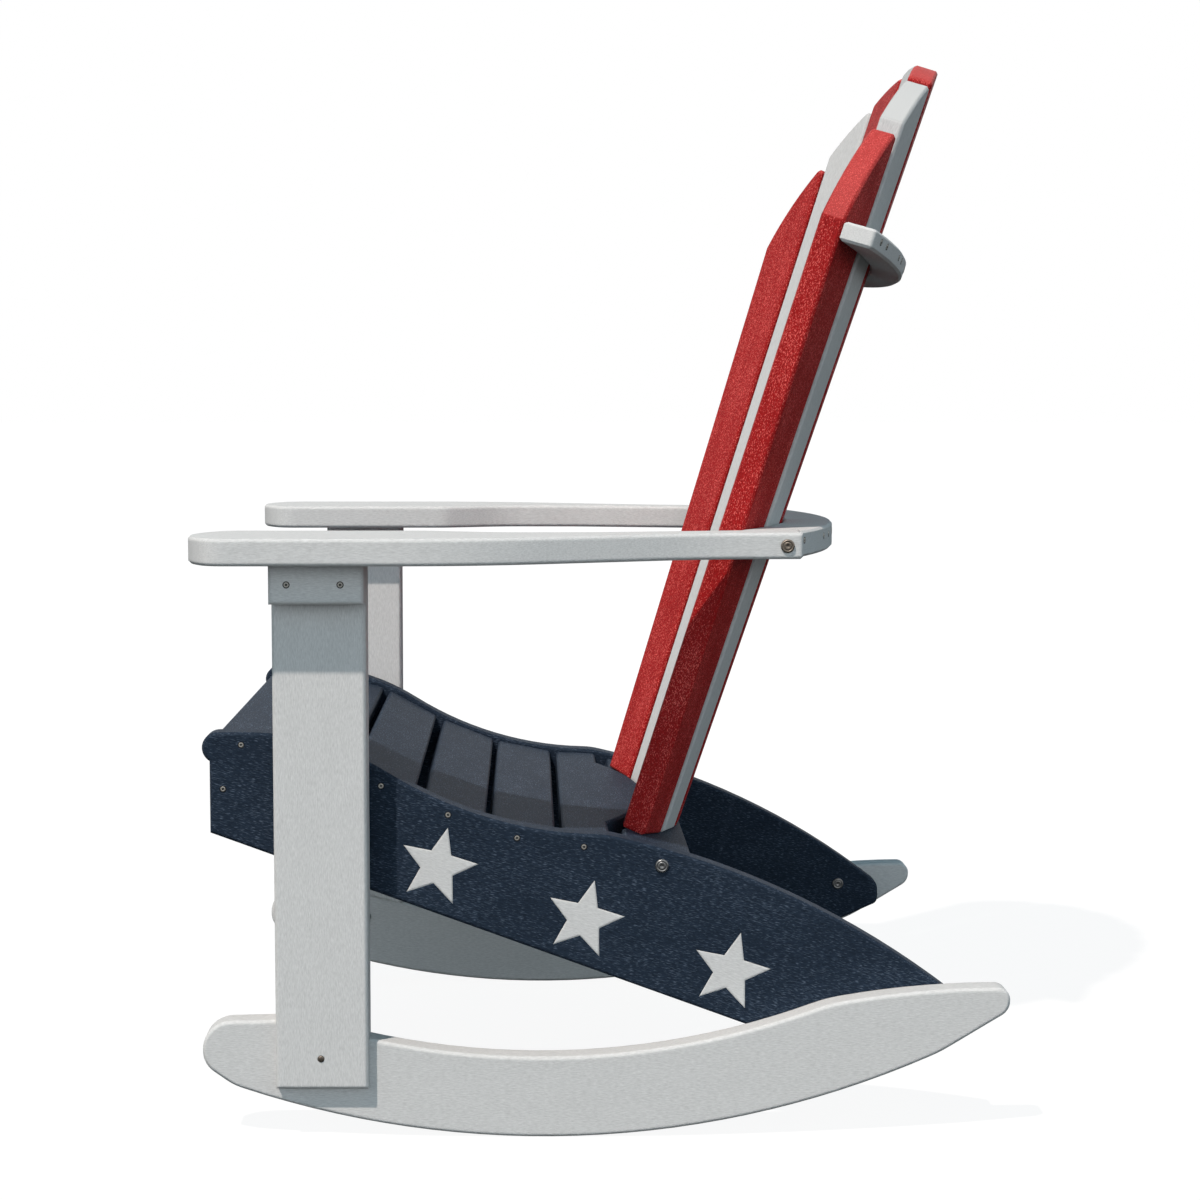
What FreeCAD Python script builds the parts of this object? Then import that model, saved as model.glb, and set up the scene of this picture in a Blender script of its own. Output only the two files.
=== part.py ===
import FreeCAD
import Part
import Sketcher
import math
import os

# A rocking adirondack chair of flat boards, mostly 25.4 mm thick, on 38.1 mm legs. Millimetres, +Z up, the
# sitter faces -Y and the sitter's left is +X. The origin is on the floor, under the middle of the chair.

doc = FreeCAD.newDocument("RockingChair")
sheet = doc.addObject("Spreadsheet::Sheet", "Sizes")

dimensions = [
    # Stock and joints
    ("board", 25.4, "thickness of every board but the legs and the upper brace"),
    ("edge_ease", 2.4, "eased edge along the boards"),
    ("slat_gap", 6.35, "gap between two slats"),
    ("fit", 0.2, "clearance where boards meet at an angle"),
    ("seat_width", 500, "between the seat sides"),
    # Rockers
    ("rocker_radius", 914.6, "radius of the running edge"),
    ("rocker_low", -56.6, "where the rocker meets the floor at rest"),
    ("rocker_front", -387.5, "front end"),
    ("rocker_back", 393.1, "back end"),
    ("rocker_front_turn", 29.4, "length of the turned-up front"),
    ("rocker_front_lift", 72, "height of the front end's lower corner"),
    ("rocker_front_top", 114, "height of the front end's upper corner"),
    ("rocker_back_turn", 66.2, "length of the turned-up tail"),
    ("rocker_back_lift", 125, "height of the tail's lower corner"),
    ("rocker_back_top", 147.5, "height of the tail's upper corner"),
    ("rocker_waist", 79.6, "height of the upper edge's lowest point"),
    ("rocker_shoulder", -295.1, "where the hollow upper edge starts, in front"),
    ("rocker_shoulder_height", 116.3, "height there"),
    ("rocker_tail", 216.9, "where the hollow ends, behind"),
    ("rocker_tail_height", 131.2, "height there"),
    ("rocker_tail_crown", 4.4, "rise of the tail's upper edge above its chord"),
    ("rocker_brow_round", 28, "radius of the front end's upper corner"),
    ("rocker_chin_round", 25, "radius of its lower corner"),
    ("rocker_chin_sweep", 60, "radius where the front turns up"),
    ("rocker_heel_sweep", 150, "radius where the tail turns up"),
    ("rocker_heel_round", 16, "radius of the tail's lower corner"),
    ("rocker_tail_round", 12, "radius of its upper corner"),
    # Seat sides
    ("side_front", -381.1, "front edge"),
    ("side_back", 351.4, "back end of the tail"),
    ("nose_radius", 15.2, "radius of the nose"),
    ("nose_reach", 7.9, "from the front edge back to the nose's centre"),
    ("seat_height", 392.6, "top of the seat's front"),
    ("seat_crest", -345.1, "where the seat starts to fall"),
    ("seat_dip", 1.9, "the dip's lowest point"),
    ("seat_dip_drop", 100.1, "from the seat's front down to the dip"),
    ("seat_dip_radius", 395, "radius of the dip"),
    ("dip_sweep", 90, "radius where the dip meets the tail"),
    ("tail_crown", 22.4, "rise of the tail's upper edge above its chord"),
    ("tail_top", 128, "height of the tail's upper corner"),
    ("tail_rise", 0.45, "slope of the tail's lower edge"),
    ("tail_round", 14, "radius of the tail's upper corner"),
    ("side_depth", 98.4, "depth of the seat side in front"),
    ("side_foot", 256.9, "the lower edge's lowest point"),
    ("side_foot_height", 62, "height there"),
    ("side_foot_round", 8, "radius of the corners there"),
    # Stars
    ("star_first", -160.4, "middle of the first star"),
    ("star_pitch", 142.55, "from star to star"),
    ("star_rise", 47.4, "from the side's lower edge up to a star's middle"),
    ("star_reach", 39.5, "middle to tip"),
    ("star_waist", 17, "middle to inner corner"),
    ("star_lean", 14.6, "degrees that a star leans back"),
    ("inlay_depth", 3, "thickness of a star"),
    # Legs
    ("leg_front", -315.2, "front edge of the leg"),
    ("leg_width", 88.9, "front to back"),
    ("leg_bottom", 51.6, "height of its lower end"),
    ("leg_board", 38.1, "thickness of the leg, which is notched over the rocker"),
    ("bracket_height", 38, "height of the arm bracket"),
    # Arms, in plan, from the chair's middle
    ("arm_under", 560.5, "height of the arm's underside"),
    ("arm_front", -393.1, "tip of the arm"),
    ("arm_back", 191.6, "back end of the arm"),
    ("arm_tip_shift", 1.5, "the tip, outward of the middle of the arm's width"),
    ("arm_crown_slack", 24.5, "radius of the front edge, beyond half the arm's width"),
    ("arm_outer", 369, "straight outer edge"),
    ("arm_outer_turn", -125.1, "where the outer edge turns in"),
    ("arm_heel", 96.9, "where it turns back"),
    ("arm_heel_side", 282, "the outer edge there"),
    ("arm_back_outer", 276, "the outer edge at the back end"),
    ("arm_inner", 238, "straight inner edge"),
    ("arm_inner_turn", -171.1, "where the inner edge turns out"),
    ("arm_waist_front", -101.1, "front of the narrowest stretch"),
    ("arm_waist_side", 265.5, "the inner edge there"),
    ("arm_waist_back", -11.1, "back of the narrowest stretch"),
    ("arm_waist_back_side", 264, "the inner edge there"),
    ("arm_back_inner", 222, "the inner edge at the back end"),
    ("arm_tip_round", 28, "radius of the front corners"),
    ("arm_outer_sweep", 360, "radius where the outer edge turns in"),
    ("arm_heel_sweep", 285, "radius where it turns back"),
    ("arm_inner_sweep", 40, "radius where the inner edge turns out"),
    ("arm_waist_sweep", 110, "radius in front of the narrowest stretch"),
    ("arm_waist_back_sweep", 250, "radius behind it"),
    ("arm_back_round", 5, "radius of the back end's outer corner"),
    # Seat
    ("seat_slat_width", 63.5, "front to back"),
    ("seat_recess", 5, "slats below the sides' upper edge"),
    ("first_slat_front", -377.7, "front of the first slat"),
    ("second_slat", -276.7, "middle of the second slat"),
    ("seat_pitch", 66.6, "from slat to slat, level"),
    ("last_slat_back", 7.5, "back edge of the last slat, at the sides"),
    ("last_slat_crest", 53.6, "back edge of the last slat, in the middle"),
    ("last_slat_notch", 183, "middle to the curved edge's corner"),
    ("apron_front", -381.1, "front of the apron"),
    ("apron_lift", 5.8, "from the seat side's lower edge up to the apron's"),
    # Back
    ("back_foot", 66.5, "front of the middle slat's foot"),
    ("back_foot_sink", 25, "from the seat's dip down to the slats' feet"),
    ("lean", 18.49, "degrees that the back leans"),
    ("fan_radius", 365.8, "radius of the back at the feet"),
    ("fan_spread", 0.1958, "growth of that radius per millimetre of height"),
    ("fan_step", 8.59, "degrees from slat to slat"),
    ("arch_height", 563.8, "from the feet up to the arch's centre"),
    ("arch_rise", 276.4, "from there to the arch's crest"),
    ("arch_margin", 69, "from the outermost slats' feet out to the arch's ends"),
    ("slat_corner_round", 6, "radius of the slats' upper corners"),
    ("lower_brace_back", 26.5, "back edge, from the middle slat's front"),
    ("lower_brace_front", -46, "front edge at the sides"),
    ("lower_brace_crest", -7.5, "front edge in the middle"),
    ("lower_brace_notch", 188, "middle to the curved edge's corner"),
    ("middle_brace_crest", 251, "back edge in the middle"),
    ("middle_brace_radius", 560, "radius of the back edge"),
    ("middle_brace_lip", 3, "its depth at the ends, behind the arms"),
    ("upper_brace_height", 616.8, "from the feet up to its underside"),
    ("upper_brace_board", 19.05, "its thickness"),
    ("upper_brace_depth", 34, "its depth in the middle"),
    ("upper_brace_tip", 33, "its depth at the ends"),
    ("upper_brace_reach", 0.915, "share of the outer slats that it covers"),
    ("brace_corner_round", 4, "radius of its rear corners"),
    # Bolts
    ("bolt_diameter", 6.35, "shank"),
    ("bolt_head", 13, "diameter of the head"),
    ("bolt_head_height", 2.6, "proud of the board"),
    ("leg_bolt_inset", 1, "from that bolt's end to the leg's face"),
    ("leg_bolt_back", 43.3, "from the leg's front to its bolt"),
    ("leg_bolt_height", 81.2, "height of that bolt"),
    ("rocker_bolt_place", 303.2, "bolt between seat side and rocker"),
    ("rocker_bolt_height", 127.8, "height of that bolt"),
    ("rocker_bolt_length", 45.7, "length of that bolt"),
    ("brace_bolt_depth", -7, "bolt in the lower brace's end, from the middle slat's front"),
    ("brace_bolt_drop", 8, "from the brace's upper face down to that bolt"),
    ("brace_bolt_length", 70, "length of that bolt"),
    ("arm_bolt_inset", 15.6, "from the arm's back end to its bolt"),
    ("arm_bolt_length", 85, "length of that bolt"),
]

for row, (alias, number, note) in enumerate(dimensions, start=1):
    sheet.set(f"A{row}", alias)
    sheet.set(f"B{row}", str(number))
    sheet.set(f"C{row}", note)
    sheet.setAlias(f"B{row}", alias)
doc.recompute()


# A length or an angle: its present value, and its formula in terms of the spreadsheet
class Size:
    def __init__(self, value, formula):
        self.value = value
        self.formula = formula

    def __add__(self, other):
        other = as_size(other)
        return Size(self.value + other.value, f"({self.formula} + {other.formula})")

    def __sub__(self, other):
        other = as_size(other)
        return Size(self.value - other.value, f"({self.formula} - {other.formula})")

    def __mul__(self, other):
        other = as_size(other)
        return Size(self.value * other.value, f"({self.formula} * {other.formula})")

    def __truediv__(self, other):
        other = as_size(other)
        return Size(self.value / other.value, f"({self.formula} / {other.formula})")

    def __neg__(self):
        return self * -1

    def __rsub__(self, other):
        return as_size(other) - self

    def __rtruediv__(self, other):
        return as_size(other) / self

    __radd__ = __add__
    __rmul__ = __mul__


def as_size(value):
    if isinstance(value, Size):
        return value
    return Size(float(value), f"({float(value)})")


class Sheet:
    def __getattr__(self, alias):
        return Size(float(getattr(sheet, alias)), f"Sizes.{alias}")


def sine(angle):
    return Size(math.sin(math.radians(angle.value)), f"sin({angle.formula})")


def cosine(angle):
    return Size(math.cos(math.radians(angle.value)), f"cos({angle.formula})")


def root(number):
    return Size(math.sqrt(number.value), f"sqrt({number.formula})")


# The angle in degrees whose tangent is rise over run
def slope_angle(rise, run):
    formula = f"(atan2({rise.formula}; {run.formula}) / 1deg)"
    return Size(math.degrees(math.atan2(rise.value, run.value)), formula)


d = Sheet()
zero = as_size(0)


# A point that the edge before it passes through on its way to the next corner
class Through:
    def __init__(self, across, up):
        self.point = (across, up)


def add_sketch(body, name, role, level=None):
    sketch = body.newObject("Sketcher::SketchObject", name)
    planes = [item for item in body.Origin.OriginFeatures if item.Role == role]
    sketch.AttachmentSupport = [(planes[0], "")]
    sketch.MapMode = "FlatFace"
    if level is not None:
        sketch.setExpression("AttachmentOffset.Base.z", level.formula)
    return sketch


def vector_of(point):
    return FreeCAD.Vector(as_size(point[0]).value, as_size(point[1]).value, 0)


# Ties one point of a sketch to its two distances from the sketch's origin
def pin(sketch, geometry, position, point):
    for kind, size in (("DistanceX", as_size(point[0])), ("DistanceY", as_size(point[1]))):
        index = sketch.addConstraint(Sketcher.Constraint(kind, -1, 1, geometry, position, size.value))
        sketch.setExpression(f"Constraints[{index}]", size.formula)


def add_line(sketch, start, end):
    geometry = sketch.addGeometry(Part.LineSegment(vector_of(start), vector_of(end)), False)
    return (geometry, 1), (geometry, 2)


def add_arc(sketch, start, middle, end):
    curve = Part.ArcOfCircle(vector_of(start), vector_of(middle), vector_of(end))
    circle = Part.Circle(curve.Center, FreeCAD.Vector(0, 0, 1), curve.Radius)
    first, between, last = [circle.parameter(vector_of(point)) for point in (start, middle, end)]
    forward = (between - first) % math.tau < (last - first) % math.tau
    ends = (first, last) if forward else (last, first)
    geometry = sketch.addGeometry(Part.ArcOfCircle(circle, ends[0], ends[1]), False)
    guide = sketch.addGeometry(Part.Point(vector_of(middle)), True)
    sketch.addConstraint(Sketcher.Constraint("PointOnObject", guide, 1, geometry))
    pin(sketch, guide, 1, middle)
    if forward:
        return (geometry, 1), (geometry, 2)
    return (geometry, 2), (geometry, 1)


# Draws a closed outline from its corners, with an arc wherever a Through stands between two corners
def draw(sketch, outline):
    corners = [item for item in outline if not isinstance(item, Through)]
    edges = []
    for index, item in enumerate(outline):
        if isinstance(item, Through):
            continue
        following = outline[(index + 1) % len(outline)]
        if isinstance(following, Through):
            end = outline[(index + 2) % len(outline)]
            edges.append(add_arc(sketch, item, following.point, end))
        else:
            edges.append(add_line(sketch, item, following))
    for index, (start, end) in enumerate(edges):
        after = edges[(index + 1) % len(edges)][0]
        sketch.addConstraint(Sketcher.Constraint("Coincident", end[0], end[1], after[0], after[1]))
        pin(sketch, start[0], start[1], corners[index])


def add_pad(body, sketch, length, reverse=False):
    pad = body.newObject("PartDesign::Pad", sketch.Name + "Pad")
    pad.Profile = sketch
    pad.setExpression("Length", length.formula)
    pad.Reversed = reverse
    sketch.Visibility = False
    doc.recompute()
    return pad


def dress_edges(body, kind, name, size, chosen):
    base = body.Tip
    names = [f"Edge{index + 1}" for index, edge in enumerate(base.Shape.Edges) if chosen(edge)]
    if not names:
        raise RuntimeError(f"no edge found for {name}")
    dressing = body.newObject("PartDesign::" + kind, name)
    dressing.Base = (base, names)
    dressing.setExpression("Radius" if kind == "Fillet" else "Size", as_size(size).formula)
    doc.recompute()
    if "Invalid" in dressing.State:
        raise RuntimeError(f"{name} failed")


def ease_edges(body, label, chosen):
    dress_edges(body, "Chamfer", label + "Edges", d.edge_ease, chosen)


axes = ("x", "y", "z")


def along_axis(edge, axis):
    ends = [vertex.Point for vertex in edge.Vertexes]
    return len(ends) == 2 and abs(getattr((ends[1] - ends[0]).normalize(), axis)) > 0.9999


def lies_at(edge, axis, level):
    box = edge.BoundBox
    low = getattr(box, axis.upper() + "Min")
    high = getattr(box, axis.upper() + "Max")
    return abs(low - level) < 0.01 and abs(high - level) < 0.01


# Rounds the outline's corners; each radius takes the corners named for it
def round_corners(body, label, axis, corners):
    others = [name for name in axes if name != axis]
    for number, (radius, points) in enumerate(corners, start=1):
        places = [(as_size(across).value, as_size(up).value) for across, up in points]

        def at_corner(edge):
            if not along_axis(edge, axis):
                return False
            point = edge.Vertexes[0].Point
            here = (getattr(point, others[0]), getattr(point, others[1]))
            return any(math.dist(here, place) < 0.05 for place in places)

        dress_edges(body, "Fillet", f"{label}Corner{number}", radius, at_corner)


# Eases the edges of a board's two broad faces, but for those that stay sharp
def ease_faces(body, label, axis, thickness, stays_sharp=None):
    levels = (0, thickness)

    def on_a_face(edge):
        if stays_sharp and stays_sharp(edge):
            return False
        return any(lies_at(edge, axis, level) for level in levels)

    ease_edges(body, label, on_a_face)


def new_body(label):
    body = doc.addObject("PartDesign::Body", "Body_" + label)
    body.Label = label
    return body


def place(item, x, y, z, turn="rotation(vector(0; 0; 1); 0)"):
    spot = "; ".join(as_size(size).formula for size in (x, y, z))
    item.setExpression("Placement", f"placement(vector({spot}); {turn})")


# A flat board that stands on its edge, drawn from the side, with its inner face toward the chair's middle
def side_board(label, side, inner, thickness, outline, corners, eased=True):
    body = new_body(label)
    sketch = add_sketch(body, label + "Outline", "YZ_Plane")
    draw(sketch, outline)
    add_pad(body, sketch, thickness)
    round_corners(body, label, "x", corners)
    if eased:
        ease_faces(body, label, "x", thickness.value)
    place(body, inner if side > 0 else -inner - thickness, 0, 0)
    return body


# A flat board that lies level in its own frame, drawn from above
def level_board(label, outline, corners, stays_sharp=None, thickness=d.board):
    body = new_body(label)
    sketch = add_sketch(body, label + "Outline", "XY_Plane")
    draw(sketch, outline)
    add_pad(body, sketch, thickness)
    if corners:
        round_corners(body, label, "z", corners)
    ease_faces(body, label, "z", thickness.value, stays_sharp)
    return body


# Height of a circle's lower side at some distance from its lowest point
def lower_arc(radius, low, away):
    return low + radius - root(radius * radius - away * away)


# The point halfway along an arc that rises some way above the chord between two points
def crowned(start, end, rise):
    run = end[0] - start[0]
    drop = end[1] - start[1]
    length = root(run * run + drop * drop)
    middle = ((start[0] + end[0]) / 2, (start[1] + end[1]) / 2)
    return Through(middle[0] - drop * rise / length, middle[1] + run * rise / length)


# The rocker's running edge is one large arc that turns up a little faster at both ends
def rocker_outline():
    front_turn = d.rocker_front + d.rocker_front_turn
    back_turn = d.rocker_back - d.rocker_back_turn
    upper_low = (d.rocker_shoulder + d.rocker_tail) / 2
    shoulder = (d.rocker_shoulder, d.rocker_shoulder_height)
    tail = (d.rocker_tail, d.rocker_tail_height)
    front_low = (d.rocker_front, d.rocker_front_lift)
    front_high = (d.rocker_front, d.rocker_front_top)
    back_low = (d.rocker_back, d.rocker_back_lift)
    back_high = (d.rocker_back, d.rocker_back_top)
    front_start = (front_turn, lower_arc(d.rocker_radius, zero, front_turn - d.rocker_low))
    back_start = (back_turn, lower_arc(d.rocker_radius, zero, back_turn - d.rocker_low))
    outline = [
        front_low,
        front_start,
        Through(d.rocker_low, zero),
        back_start,
        back_low,
        back_high,
        crowned(tail, back_high, d.rocker_tail_crown),
        tail,
        Through(upper_low, d.rocker_waist),
        shoulder,
        front_high,
    ]
    corners = [
        (d.rocker_brow_round, [front_high]),
        (d.rocker_chin_round, [front_low]),
        (d.rocker_heel_round, [back_low]),
        (d.rocker_tail_round, [back_high]),
        (d.rocker_chin_sweep, [front_start]),
        (d.rocker_heel_sweep, [back_start, tail]),
    ]
    return outline, corners


# The seat's dip, the arc from the level front down to it, which touches the dip's arc, and where they touch
dip_height = d.seat_height - d.seat_dip_drop
crest_run = d.seat_dip - d.seat_crest
both_radii = (crest_run * crest_run + d.seat_dip_drop * d.seat_dip_drop) / (2 * d.seat_dip_drop)
crest_radius = both_radii - d.seat_dip_radius
seat_turn = d.seat_crest + crest_run * crest_radius / both_radii
side_under = d.seat_height - d.side_depth


# Height of the seat sides' upper edge: level, then the crest's arc, then the dip's
def seat_line(y):
    if y.value < d.seat_crest.value:
        return d.seat_height
    if y.value < seat_turn.value:
        away = y - d.seat_crest
        return d.seat_height - crest_radius + root(crest_radius * crest_radius - away * away)
    return lower_arc(d.seat_dip_radius, dip_height, y - d.seat_dip)


# Height of the seat sides' lower edge, which runs straight down to its foot
def under_side(y):
    fall = (side_under - d.side_foot_height) / (d.side_foot - d.side_front)
    return side_under - (y - d.side_front) * fall


def seat_side_outline():
    nose_back = d.side_front + d.nose_reach
    nose_height = d.seat_height - d.nose_radius
    nose_drop = root(d.nose_radius * d.nose_radius - d.nose_reach * d.nose_reach)
    foot = (d.side_foot, d.side_foot_height)
    tail_low = (d.side_back, foot[1] + (d.side_back - d.side_foot) * d.tail_rise)
    tail_high = (d.side_back, d.tail_top)
    crest_middle = (d.seat_crest + seat_turn) / 2
    dip_middle = (seat_turn + d.seat_dip) / 2
    dip = (d.seat_dip, dip_height)
    outline = [
        (nose_back, d.seat_height),
        Through(nose_back - d.nose_radius, nose_height),
        (d.side_front, nose_height - nose_drop),
        (d.side_front, side_under),
        foot,
        tail_low,
        tail_high,
        crowned(dip, tail_high, d.tail_crown),
        dip,
        Through(dip_middle, seat_line(dip_middle)),
        (seat_turn, seat_line(seat_turn)),
        Through(crest_middle, seat_line(crest_middle)),
        (d.seat_crest, d.seat_height),
    ]
    corners = [
        (d.tail_round, [tail_high]),
        (d.side_foot_round, [tail_low, foot]),
        (d.dip_sweep, [dip]),
    ]
    return outline, corners


# Five-pointed stars in a row that follows the seat side's lower edge
def star_outlines():
    outlines = []
    for number in range(3):
        middle = d.star_first + d.star_pitch * number
        height = under_side(middle) + d.star_rise
        corners = []
        for step in range(10):
            reach = d.star_waist if step % 2 else d.star_reach
            angle = 90 - d.star_lean + step * 36
            corners.append((middle + reach * cosine(angle), height + reach * sine(angle)))
        outlines.append(corners)
    return outlines


def inlay_sketch(body, name, level):
    sketch = add_sketch(body, name, "YZ_Plane", level)
    for outline in star_outlines():
        draw(sketch, outline)
    return sketch


def recess_stars(body, label, side):
    before = body.Shape.Volume
    level = d.board - d.inlay_depth if side > 0 else zero
    sketch = inlay_sketch(body, label + "Stars", level)
    pocket = body.newObject("PartDesign::Pocket", label + "StarRecess")
    pocket.Profile = sketch
    pocket.setExpression("Length", d.inlay_depth.formula)
    pocket.Reversed = True
    sketch.Visibility = False
    doc.recompute()
    if body.Shape.Volume > before - 1:
        raise RuntimeError("the star recess cut nothing")


def star_inlays(label, side):
    body = new_body(label)
    sketch = inlay_sketch(body, label + "Outline", None)
    add_pad(body, sketch, d.inlay_depth)
    outer = d.seat_width / 2 + d.board
    place(body, outer - d.inlay_depth if side > 0 else -outer, 0, 0)
    return body


# Where the boards stand, from the chair's middle outward
side_inner = d.seat_width / 2
side_outer = side_inner + d.board
rocker_outer = side_outer + d.board
leg_outer = side_outer + d.leg_board
bracket_outer = leg_outer + d.board


# The leg is thinned on its inner side where it laps over the rocker
def plain_block(label, x, y, z, length, depth, height):
    body = new_body(label)
    sketch = add_sketch(body, label + "Outline", "XY_Plane")
    draw(sketch, [(zero, zero), (length, zero), (length, depth), (zero, depth)])
    add_pad(body, sketch, height)
    place(body, x, y, z)
    return body


# A piece with the tools' shapes cut out of it
def cut_away(piece, tools, stage):
    label = piece.Label
    piece.Label = f"{label}_before_{stage}"
    tool = doc.addObject("Part::Compound", f"Tools_{stage}_{label}")
    tool.Links = tools
    cut = doc.addObject("Part::Cut", f"Cut_{stage}_{label}")
    cut.Base = piece
    cut.Tool = tool
    cut.Label = label
    return cut


# The leg stands flat against the seat side, and its foot is notched over the rocker
def front_leg(hand, side):
    label = "front_leg_" + hand
    x = side_outer if side > 0 else -leg_outer
    height = d.arm_under - d.leg_bottom
    body = plain_block(label, x, d.leg_front, d.leg_bottom, d.leg_board, d.leg_width, height)
    outer = d.leg_board.value if side > 0 else 0

    def chosen(edge):
        return along_axis(edge, "z") or (lies_at(edge, "z", 0) and lies_at(edge, "x", outer))

    ease_edges(body, label, chosen)
    outline, corners = rocker_outline()
    notch = side_board("leg_notch_" + hand, side, side_outer, d.board, outline, corners, False)
    return cut_away(body, [notch], "notch")


def arm(label, side):
    crown = (d.arm_outer - d.arm_inner) / 2 + d.arm_crown_slack
    centre = d.arm_front + crown
    tip_side = (d.arm_outer + d.arm_inner) / 2 + d.arm_tip_shift

    def crown_edge(across):
        away = across - tip_side
        return centre - root(crown * crown - away * away)

    front_outer = (d.arm_outer * side, crown_edge(d.arm_outer))
    front_inner = (d.arm_inner * side, crown_edge(d.arm_inner))
    turn = (d.arm_outer * side, d.arm_outer_turn)
    heel = (d.arm_heel_side * side, d.arm_heel)
    inner_turn = (d.arm_inner * side, d.arm_inner_turn)
    waist = (d.arm_waist_side * side, d.arm_waist_front)
    waist_end = (d.arm_waist_back_side * side, d.arm_waist_back)
    back_outer = (d.arm_back_outer * side, d.arm_back)
    back_inner = (d.arm_back_inner * side, d.arm_back)
    outline = [front_inner, Through(tip_side * side, d.arm_front), front_outer, turn, heel]
    outline += [back_outer, back_inner, waist_end, waist, inner_turn]
    corners = [
        (d.arm_tip_round, [front_outer, front_inner]),
        (d.arm_outer_sweep, [turn]),
        (d.arm_heel_sweep, [heel]),
        (d.arm_inner_sweep, [inner_turn]),
        (d.arm_waist_sweep, [waist]),
        (d.arm_waist_back_sweep, [waist_end]),
        (d.arm_back_round, [back_outer]),
    ]
    body = level_board(label, outline, corners)
    place(body, 0, 0, d.arm_under)
    return body


def arm_bracket(label, side):
    x = leg_outer if side > 0 else -bracket_outer
    low = d.arm_under - d.bracket_height
    body = plain_block(label, x, d.leg_front, low, d.board, d.leg_width, d.bracket_height)
    outer = d.board.value if side > 0 else 0

    def outside(edge):
        upright = along_axis(edge, "z") and lies_at(edge, "x", outer)
        return upright or (lies_at(edge, "z", 0) and lies_at(edge, "x", outer))

    ease_edges(body, label, outside)
    return body


def seat_slat_middle(number):
    return d.second_slat + d.seat_pitch * (number - 2)


def seat_slat_span(number):
    if number == 1:
        return d.first_slat_front, d.first_slat_front + d.seat_slat_width
    if number == 6:
        return seat_slat_middle(5) + d.seat_slat_width / 2 + d.slat_gap, d.last_slat_back
    middle = seat_slat_middle(number)
    return middle - d.seat_slat_width / 2, middle + d.seat_slat_width / 2


# The first slat lies level, and the others follow the seat's line
def seat_slat(number):
    label = f"seat_slat_{number}"
    half_length = d.seat_width / 2
    front, back = seat_slat_span(number)
    front_height = seat_line(front)
    back_height = front_height if number == 1 else seat_line(back)
    fall = slope_angle(front_height - back_height, back - front)
    height = (front_height + back_height) / 2 - d.seat_recess
    half = (back - front) / 2
    outline = [(-half_length, -half), (half_length, -half), (half_length, half)]
    if number == 6:
        notch = d.last_slat_notch
        outline += [(notch, half), Through(zero, half + d.last_slat_crest - d.last_slat_back), (-notch, half)]
    outline.append((-half_length, half))
    body = level_board(label, outline, [])
    drop = f"placement(vector(0; 0; {(-d.board).formula}); rotation(vector(0; 0; 1); 0))"
    spot = f"vector(0; {((front + back) / 2).formula}; {height.formula})"
    turn = f"rotation(vector(1; 0; 0); {(-fall).formula})"
    body.setExpression("Placement", f"placement({spot}; {turn}) * {drop}")
    return body


# The back is a fan of flat slats set round a circle that widens upward. Points of the back are given in its own
# leaning frame: x across, n toward the rear from the middle slat's front, u up from the slats' feet.
back_foot_height = dip_height - d.back_foot_sink
back_frame = (
    f"placement(vector(0; {d.back_foot.formula}; {back_foot_height.formula}); "
    f"rotation(vector(1; 0; 0); {(-d.lean).formula}))"
)


def fan_radius(u):
    return d.fan_radius + d.fan_spread * u


# A corner of the faceted surface that the slats' rear faces form
def rear_corner(angle, u):
    reach = (fan_radius(u) + d.board + d.fit) / cosine(d.fan_step / 2)
    return reach * sine(angle), reach * cosine(angle) - fan_radius(u)


# The height in the back's frame at which that corner's line meets a level plane
def corner_height(angle, level):
    stretch = cosine(angle) / cosine(d.fan_step / 2)
    depth = (d.fan_radius + d.board + d.fit) * stretch - d.fan_radius
    growth = d.fan_spread * (stretch - 1)
    rise = level - back_foot_height + depth * sine(d.lean)
    return rise / (cosine(d.lean) - growth * sine(d.lean))


def level_corner(angle, level):
    u = corner_height(angle, level)
    x, n = rear_corner(angle, u)
    return x, d.back_foot + n * cosine(d.lean) + u * sine(d.lean)


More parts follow.
